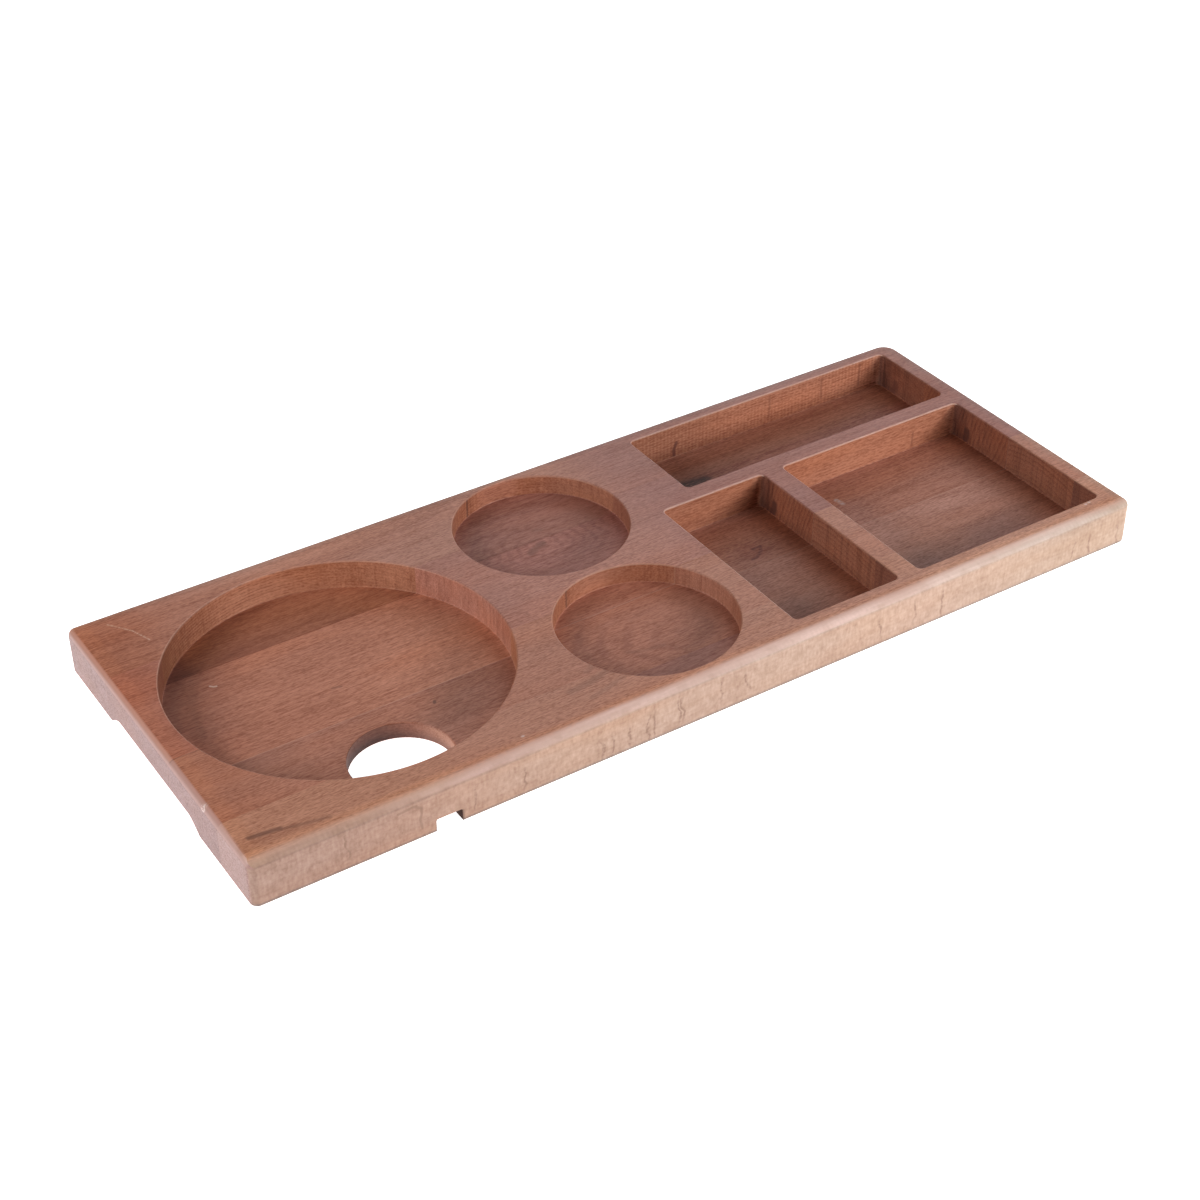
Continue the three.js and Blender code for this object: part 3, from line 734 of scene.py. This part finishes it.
def inner_marks(g, colour, s):
    x, y, z = s["x"], s["y"], s["z"]
    colour = g.mix(s["kettle_floor"] * g.near_line(x, y, [(-122.8, -29.4), (-122.2, -28.4)], 0.45, 0.7) * 0.8, colour, DARK)
    colour = g.tint(colour, (0.92, 0.88, 0.84), s["top"] * g.step(x, -205.0, -235.0))
    colour = g.tint(colour, (1.12, 1.14, 1.16), s["kettle_floor"] * g.band(x, -150.0, -122.0, 9.0))
    # painted shade on the kettle floor by its left wall
    colour = g.tint(colour, (0.92, 0.92, 0.92), s["kettle_floor"] * g.step(x, -182.0, -198.0))
    # a chipped spot on the left end's rounded edge
    chip = g.step(g.hypot(y + 54.0 + s["ripple"] * 3.0, (z - 23.6) * 1.3), 2.6, 0.9) * g.step(x, -246.5, -248.0) * g.step(s["dash"], 0.40, 0.52)
    colour = g.mix(chip * 0.8, colour, (0.72, 0.58, 0.53))
    colour = g.mix(s["top"] * g.step(x, -234.0, -236.0) * g.step(y, -19.4, -18.9) * 0.4, colour, DARK)
    # faint dark runs on the floor of the front cup and beside it
    colour = g.mix(s["cup_floor"] * g.near_line(x, y, [(-30.0, -52.0), (-22.0, -55.5), (-12.0, -57.0)], 0.3, 1.6) * 0.22, colour, DARK)
    colour = g.mix(s["top"] * g.near_line(x, y, [(-62.0, -66.0), (-50.0, -60.0)], 0.4, 2.2) * 0.22, colour, DARK)
    in_square = s["pocket_floor"] * g.step(x, 117.0, 121.0)
    # painted sheen: greyer towards the square pocket's left end
    colour = g.tint(colour, (1.03, 1.08, 1.15), in_square * g.step(x, 163.0, 138.0))
    colour = g.tint(colour, (1.07, 1.10, 1.12), in_square * g.step(y, -34.0, -24.0) * g.band(x, 165.0, 222.0, 10.0))
    colour = g.tint(colour, (0.88, 0.88, 0.92), in_square * g.band(x, 180.0, 216.0, 10.0) * g.step(y, -46.0, -54.0))
    colour = g.tint(colour, (0.82, 0.80, 0.82), (s["pocket_floor"] - in_square) * g.step(x, 72.0, 60.0) * g.step(y, -44.0, -36.0))
    # painted shade on the pockets' floors towards their front walls
    return g.tint(colour, (0.90, 0.87, 0.90), s["pocket_floor"] * g.step(y, -58.0, -70.0))


def front_marks(g, colour, s):
    x, y, z = s["x"], s["y"], s["z"]
    bent = y + s["ripple"] * 3.0
    streak = g.most(g.near_line(x, bent, [(-243.0, -83.6), (-237.0, -84.6), (-229.0, -86.0)], 0.25, 1.9),
                    g.near_line(x, bent, [(-234.0, -85.3), (-222.0, -88.0), (-208.0, -91.0)], 0.1, 1.5) * 0.6)
    colour = g.mix(s["top"] * streak * (0.6 + s["fibre"] * 0.6) * 0.85, colour, (0.13, 0.045, 0.026))
    runs = g.near_line(x, y, [(-76.0, -75.0), (-64.0, -73.5), (-52.0, -70.0)], 0.6, 2.6)
    runs = g.most(runs, g.near_line(x, y, [(-70.0, -84.0), (-58.0, -81.0), (-50.0, -78.5)], 0.4, 2.0) * 0.7)
    colour = g.mix(s["top"] * runs * 0.32, colour, DARK)
    for px, py in ((-111.0, -90.0), (228.5, -89.2), (231.0, -88.8)):
        colour = g.mix(s["top"] * g.step(g.hypot(x - px, (y - py) * 1.4), 1.3, 0.5) * 0.45, colour, (0.74, 0.62, 0.57))
    colour = g.tint(colour, (1.05, 1.07, 1.02), s["top"] * g.step(x, -135.0, -165.0))
    colour = g.tint(colour, (0.90, 0.86, 0.82), s["top"] * g.step(x, -205.0, -225.0) * g.step(y, -85.0, -88.0) * g.step(y, -93.5, -90.5))
    colour = g.tint(colour, (1.06, 1.13, 1.14), s["top"] * g.step(x, 100.0, 130.0))
    # paler over the last few millimetres before the front edge
    colour = g.tint(colour, (1.10, 1.14, 1.12), s["top"] * g.step(y, -89.5, -93.0))
    # mottled front edge with broken upright flecks
    mottle = g.noise(s["at"], (10, 10, 7), (3.3, 8.8, 1.4), 2.0, 0.55)
    colour = g.tint(colour, (0.90, 0.87, 0.84), s["front_side"] * g.step(mottle, 0.48, 0.66))
    colour = g.tint(colour, (0.89, 0.82, 0.83), s["front_side"] * g.step(x, -80.0, -190.0))
    colour = g.tint(colour, (0.90, 0.97, 0.98), s["front_side"] * g.step(x, 90.0, 220.0))
    colour = g.tint(colour, (1.03, 1.05, 1.05), s["front_side"] * g.band(x, 10.0, 95.0, 20.0))
    jitter = g.noise(s["at"], (9, 9, 8), (9.4, 2.6, 3.0), 2.0, 0.5) - 0.5
    wob = x + jitter * 8.0
    near = None
    for at_x in (-206, -142, -116, -76, -70, -60, -50, -47, -33, -31, -9, 6, 86, 108, 125, 212, 224, 243):
        d = g.size(wob - at_x)
        near = d if near is None else g.least(near, d)
    tick = g.step(near, 1.0, 0.25) * g.band(z + s["wave"] * 30.0, 5.0, 18.5, 3.0) * (0.45 + g.step(s["dash"], 0.38, 0.58) * 0.55)
    hook = g.near_line(x + jitter * 3.0, z, [(-180.0, 19.6), (-172.5, 20.4), (-168.6, 18.0), (-169.6, 12.0), (-168.4, 6.5)], 0.25, 0.9)
    colour = g.mix(s["front_side"] * g.most(tick, hook * 0.8) * 0.72, colour, (0.20, 0.10, 0.062))
    # painted shade along the bottom arris, grey
    return g.tint(colour, (0.48, 0.55, 0.64), s["front_side"] * g.step(z, 3.0, 1.4))


LOOK = {
    "back_stave": dict(rings=0.06, seed=1.7, streak=0.80, pith=(84.0, -82.0), mid=(76.0, 12.0), pitch=2.1, tilt=0.012, wave=9.0, bands=0.42, cloud=0.42, late=0.18, ray=0.12,
                       base=(0.399, 0.163, 0.105), kettle_floor=(0.843, 0.708, 0.555), cup_floor=(0.812, 0.794, 0.900), pocket_floor=(0.954, 0.930, 0.901),
                       wall=(1.160, 1.130, 1.010), end_wall=(0.655, 0.545, 0.475), kettle_wall=(1.133, 1.136, 0.984), cup_wall=(0.960, 0.927, 0.842),
                       front_side=(1, 1, 1), left_side=(0.571, 0.729, 1.029), marks=back_marks),
    "centre_stave": dict(rings=0.42, seed=5.3, streak=0.42, pith=(-120.0, -24.0), mid=(17.0, 12.0), pitch=2.6, tilt=-0.010, wave=8.0, bands=0.36, cloud=0.38, late=0.12, ray=0.14,
                         base=(0.370, 0.142, 0.098), kettle_floor=(1.158, 1.166, 1.020), cup_floor=(1.010, 0.995, 1.085), pocket_floor=(0.980, 1.002, 0.932),
                         wall=(1.095, 1.090, 0.860), end_wall=(0.790, 0.685, 0.515), kettle_wall=(1.260, 1.380, 1.380), cup_wall=(0.851, 0.803, 0.691),
                         front_side=(1, 1, 1), left_side=(0.584, 0.783, 1.037), marks=centre_marks),
    "inner_front_stave": dict(rings=0.34, seed=9.1, streak=0.28, pith=(-38.0, -64.0), mid=(-44.0, 12.0), pitch=2.9, tilt=0.016, wave=11.0, bands=0.30, cloud=0.36, late=0.12, ray=0.14,
                              base=(0.415, 0.162, 0.098), kettle_floor=(0.969, 1.032, 1.129), cup_floor=(0.987, 0.974, 1.006), pocket_floor=(1.000, 1.103, 1.255),
                              wall=(1.050, 1.042, 1.000), end_wall=(0.790, 0.755, 0.700), kettle_wall=(1.071, 1.146, 1.105), cup_wall=(1.000, 1.042, 1.064),
                              front_side=(1, 1, 1), left_side=(0.524, 0.708, 1.104), marks=inner_marks),
    "front_stave": dict(rings=0.25, seed=13.9, streak=0.26, pith=(-92.0, -96.0), mid=(-85.0, 12.0), pitch=2.4, tilt=-0.014, wave=9.0, bands=0.30, cloud=0.36, late=0.10, ray=0.14,
                        base=(0.431, 0.181, 0.112), kettle_floor=(0.969, 0.959, 1.022), cup_floor=(0.830, 0.776, 0.888), pocket_floor=(0.918, 0.907, 0.989),
                        wall=(1.020, 1.031, 0.989), end_wall=(0.585, 0.525, 0.530), kettle_wall=(1.020, 1.031, 1.022), cup_wall=(0.969, 0.948, 0.946),
                        front_side=(0.877, 1.330, 1.565), left_side=(0.604, 0.756, 1.052), marks=front_marks),
}

for node, y0, y1, slot in STAVES:
    piece = pieces[node]
    piece.data.materials.clear()
    piece.data.materials.append(beech(slot, LOOK[node]))
    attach(piece, "root")
    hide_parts(node)

# ---------------------------------------------------------------- stage
floor = new_object("floor", [(-20000, -20000, 0), (20000, -20000, 0), (20000, 20000, 0), (-20000, 20000, 0)], [[0, 1, 2, 3]])
floor.location.z = -0.0002
fm = bpy.data.materials.new("floor_white")
fm.use_nodes = True
fb = fm.node_tree.nodes["Principled BSDF"]
fb.inputs["Base Color"].default_value = (0.9, 0.9, 0.9, 1)
fb.inputs["Roughness"].default_value = 0.6
fb.inputs["Emission Color"].default_value = (1, 1, 1, 1)
fb.inputs["Emission Strength"].default_value = 1.1
floor.data.materials.append(fm)

world = bpy.data.worlds.new("studio")
world.use_nodes = True
world.node_tree.nodes["Background"].inputs["Color"].default_value = (1, 1, 1, 1)
world.node_tree.nodes["Background"].inputs["Strength"].default_value = 0.0
bpy.context.scene.world = world


def softbox(name, at, to, size, watts, colour=(1, 1, 1)):
    light = bpy.data.lights.new(name, "AREA")
    light.shape = "RECTANGLE"
    light.size, light.size_y = size
    light.energy = watts
    light.color = colour
    o = bpy.data.objects.new(name, light)
    bpy.context.scene.collection.objects.link(o)
    o.location = at
    o.rotation_euler = (Vector(to) - Vector(at)).to_track_quat("-Z", "Y").to_euler()
    return o


softbox("softbox_right", (0.7, -0.8, 0.35), (0.1, 0, 0), (0.3, 0.3), 5.7)
softbox("softbox_front", (0.45, -1.1, 0.4), (0.05, 0, 0), (0.4, 0.3), 6.0)
softbox("softbox_left", (-0.9, 0.1, 0.45), (-0.1, 0, 0), (0.5, 0.4), 6.0)
softbox("softbox_back", (0.8, 1.0, 0.7), (0, 0, 0), (1.2, 0.8), 6.0)
softbox("softbox_top", (0.62, -0.05, 1.25), (0.08, -0.05, 0), (0.6, 0.5), 2.2)

# ---------------------------------------------------------------- camera
# world to view, x right, y down, z forward
RIGHT = Vector((0.8382807, -0.5452099, -0.0056267))
DOWN = Vector((-0.3230824, -0.4883856, -0.8106153))
FORWARD = Vector((0.4392075, 0.6813411, -0.5855520))
cam = bpy.data.cameras.new("camera")
cam.sensor_fit, cam.sensor_width, cam.sensor_height = "HORIZONTAL", 36.0, 36.0
cam.lens = 2219.1358 / 1200.0 * 36.0
cam.clip_start, cam.clip_end = 0.05, 50.0
camera = bpy.data.objects.new("camera", cam)
bpy.context.scene.collection.objects.link(camera)
basis = Matrix((RIGHT, -DOWN, -FORWARD)).transposed().to_4x4()
basis.translation = Vector((-0.4977356, -0.7543296, 0.6546454))
camera.matrix_world = basis
bpy.context.scene.camera = camera
bpy.context.scene.view_settings.view_transform = "Standard"
